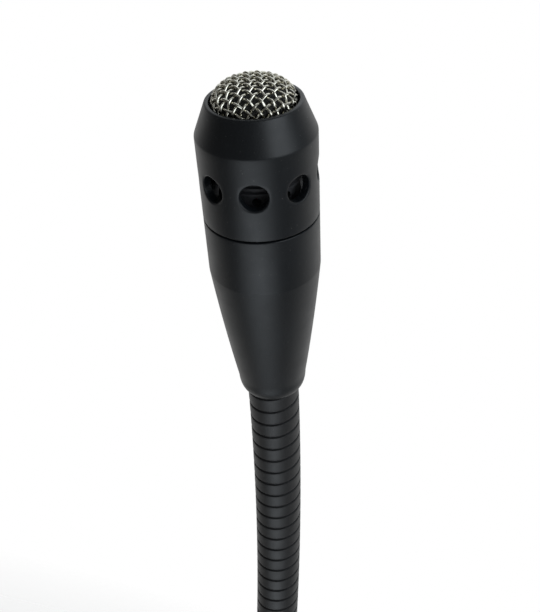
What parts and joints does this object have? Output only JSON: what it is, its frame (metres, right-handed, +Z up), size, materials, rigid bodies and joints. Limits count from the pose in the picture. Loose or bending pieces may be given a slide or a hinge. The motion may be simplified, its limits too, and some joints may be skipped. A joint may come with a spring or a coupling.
{
  "type": "gooseneck podium microphone",
  "caption": "Slim black gooseneck condenser microphone with a ported head, woven wire grille, flexible neck and plug-in audio base.",
  "frame": {"origin": "centre of the open lower end of the plug shell, which enters the podium socket", "axes": "+Z up along the plug and base tube, -Y towards the talker, the way the neck leans, +X to the right as seen from the talker's side"},
  "size_m": [0.0196, 0.1807, 0.4115],
  "materials": {
    "head_shell": "satin black anodised",
    "grille_wire": "bright woven stainless wire",
    "grille_frame": "dark matte",
    "foam": "open-cell foam",
    "capsule_metal": "satin",
    "felt": "felt",
    "film": "metallised film",
    "spacer": "matte",
    "backplate": "satin",
    "circuit_board": "solder mask",
    "rubber": "matte",
    "lead": "insulated wire",
    "ferrule": "machined",
    "neck_wire": "semi-matte black",
    "spring_wire": "drawn wire",
    "cable": "matte jacket",
    "base_shell": "satin black",
    "plug_metal": "black nickel",
    "insert": "moulded",
    "contact": "gold plated",
    "component": "moulded",
    "screw_steel": "bright"
  },
  "bodies": {
    "base": {"base_ferrule": "ferrule", "base_collar": "base_shell", "base_tube": "base_shell", "tube_screws": "screw_steel", "preamp_board": "circuit_board", "board_parts": "component", "plug_leads": "lead", "plug_shell": "plug_metal", "plug_insert": "insert", "plug_pin_1": "contact", "plug_pin_2": "contact", "plug_pin_3": "contact", "insert_screw": "screw_steel", "ground_tag": "screw_steel", "neck_winding_0": "neck_wire", "neck_spring_0": "spring_wire", "neck_cable_0": "cable"},
    "link_1": {"neck_winding_1": "neck_wire", "neck_spring_1": "spring_wire", "neck_cable_1": "cable"},
    "link_2": {"neck_winding_2": "neck_wire", "neck_spring_2": "spring_wire", "neck_cable_2": "cable"},
    "link_3": {"neck_winding_3": "neck_wire", "neck_spring_3": "spring_wire", "neck_cable_3": "cable"},
    "link_4": {"neck_winding_4": "neck_wire", "neck_spring_4": "spring_wire", "neck_cable_4": "cable"},
    "link_5": {"neck_winding_5": "neck_wire", "neck_spring_5": "spring_wire", "neck_cable_5": "cable"},
    "link_6": {"neck_winding_6": "neck_wire", "neck_spring_6": "spring_wire", "neck_cable_6": "cable"},
    "link_7": {"neck_winding_7": "neck_wire", "neck_spring_7": "spring_wire", "neck_cable_7": "cable"},
    "link_8": {"neck_winding_8": "neck_wire", "neck_spring_8": "spring_wire", "neck_cable_8": "cable"},
    "head": {"neck_winding_9": "neck_wire", "neck_spring_9": "spring_wire", "neck_cable_9": "cable", "grille_mesh": "grille_wire", "grille_ring": "grille_frame", "foam_screen": "foam", "head_cap": "head_shell", "capsule_can": "capsule_metal", "capsule_felt": "felt", "capsule_diaphragm": "film", "capsule_spacer": "spacer", "capsule_backplate": "backplate", "capsule_board": "circuit_board", "capsule_mount": "rubber", "capsule_leads": "lead", "head_body": "head_shell", "head_ferrule": "ferrule"}
  },
  "joints": [
    {"name": "neck_bend_1", "type": "hinge", "parent": "base", "child": "link_1", "pos_m": [0, 0, 0.11378], "axis": [1, 0, 0], "range_deg": [-30, 30]},
    {"name": "neck_sway_2", "type": "hinge", "parent": "link_1", "child": "link_2", "pos_m": [0, -0.00344, 0.14917], "axis": [0, 0.9894, 0.1449], "range_deg": [-30, 30]},
    {"name": "neck_bend_3", "type": "hinge", "parent": "link_2", "child": "link_3", "pos_m": [0, -0.01029, 0.18406], "axis": [1, 0, 0], "range_deg": [-30, 30]},
    {"name": "neck_sway_4", "type": "hinge", "parent": "link_3", "child": "link_4", "pos_m": [0, -0.02049, 0.21812], "axis": [0, 0.943, 0.3329], "range_deg": [-30, 30]},
    {"name": "neck_bend_5", "type": "hinge", "parent": "link_4", "child": "link_5", "pos_m": [0, -0.03394, 0.25103], "axis": [1, 0, 0], "range_deg": [-30, 30]},
    {"name": "neck_sway_6", "type": "hinge", "parent": "link_5", "child": "link_6", "pos_m": [0, -0.05051, 0.28249], "axis": [0, 0.8611, 0.5084], "range_deg": [-30, 30]},
    {"name": "neck_bend_7", "type": "hinge", "parent": "link_6", "child": "link_7", "pos_m": [0, -0.07005, 0.3122], "axis": [1, 0, 0], "range_deg": [-30, 30]},
    {"name": "neck_sway_8", "type": "hinge", "parent": "link_7", "child": "link_8", "pos_m": [0, -0.09237, 0.33987], "axis": [0, 0.747, 0.6648], "range_deg": [-30, 30]},
    {"name": "neck_bend_9", "type": "hinge", "parent": "link_8", "child": "head", "pos_m": [0, -0.11727, 0.36526], "axis": [1, 0, 0], "range_deg": [-30, 30]}
  ]
}
